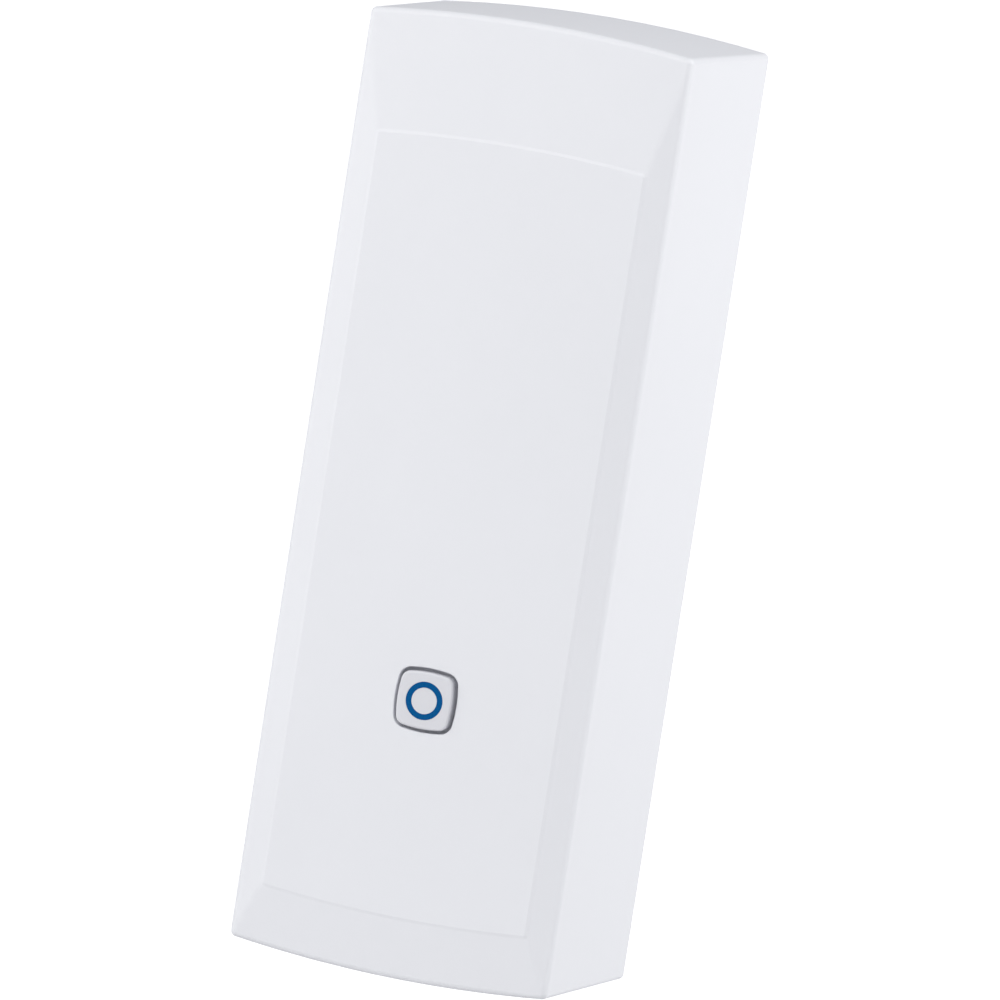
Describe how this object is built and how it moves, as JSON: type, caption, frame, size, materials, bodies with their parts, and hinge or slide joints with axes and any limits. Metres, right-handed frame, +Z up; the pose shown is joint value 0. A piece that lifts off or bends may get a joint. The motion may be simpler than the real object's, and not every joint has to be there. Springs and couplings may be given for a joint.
{
  "type": "wireless doorbell",
  "caption": "Tall white wall-mounted wireless doorbell housing with a lit square push button, over a battery well, circuit board and wall plate.",
  "frame": {"origin": "centre of the base plate's face that meets the wall", "axes": "+Z up the wall, +X to the right of a person facing the unit, +Y into the wall, so the front faces -Y"},
  "size_m": [0.057, 0.0436, 0.1579],
  "materials": {
    "housing_white": "satin moulded ABS with a very fine texture",
    "button_white": "satin moulded ABS, slightly cooler and darker than the housing",
    "ring_blue": "translucent blue light guide, lit from behind",
    "guide_white": "natural moulded acetal",
    "base_grey": "satin moulded ABS, light grey",
    "chassis_grey": "satin moulded ABS, mid grey",
    "spring_steel": "bright nickel-plated spring wire",
    "contact_nickel": "pressed nickel-plated strip",
    "screw_zinc": "bright zinc-plated",
    "board_green": "solder-masked glass-fibre laminate",
    "shield_tin": "tin-plated pressed can",
    "chip_black": "moulded epoxy with tinned leads",
    "capacitor_can": "drawn can, bright",
    "chip_ceramic": "fired ceramic chip parts",
    "led_clear": "clear moulded lens over a blue lamp",
    "switch_black": "moulded nylon",
    "plunger_black": "moulded nylon",
    "connector_ivory": "moulded nylon",
    "lead_red": "flexible insulation",
    "lead_black": "flexible insulation",
    "antenna_copper": "lacquered copper wire",
    "cell_sleeve": "plain printed sleeve over a metal can, no marks"
  },
  "bodies": {
    "base": {"base_plate": "base_grey", "chassis": "chassis_grey", "chassis_screws": "screw_zinc", "board_screws": "screw_zinc", "contact_plates": "contact_nickel", "contact_springs": "spring_steel", "circuit_board": "board_green", "radio_module": "shield_tin", "microcontroller": "chip_black", "capacitors": "capacitor_can", "chip_parts": "chip_ceramic", "status_leds": "led_clear", "switch_body": "switch_black", "board_header": "connector_ivory", "lead_plug": "connector_ivory", "lead_minus": "lead_black", "lead_plus": "lead_red", "antenna_wire": "antenna_copper", "cell_1": "cell_sleeve", "cell_2": "cell_sleeve", "cell_3": "cell_sleeve", "cell_4": "cell_sleeve"},
    "cover": {"front_cover": "housing_white", "button_guide": "guide_white", "guide_screws": "screw_zinc", "return_spring": "spring_steel"},
    "button": {"button_cap": "button_white", "light_ring": "ring_blue", "button_core": "button_white"},
    "plunger": {"switch_plunger": "plunger_black"}
  },
  "joints": [
    {"name": "cover_pull", "type": "slide", "parent": "base", "child": "cover", "axis": [0, -1, 0], "range_m": [0, 0.06]},
    {"name": "button_press", "type": "slide", "parent": "cover", "child": "button", "axis": [0, 1, 0], "range_m": [0, 0.0006], "stiffness_N_per_m": 800, "springref_m": -0.0005, "deforming": ["return_spring"]},
    {"name": "plunger_press", "type": "slide", "parent": "base", "child": "plunger", "axis": [0, 1, 0], "range_m": [0, 0.00025]}
  ],
  "couplings": [
    {"joint": "plunger_press", "follows": "button_press", "ratio": 0.4}
  ]
}
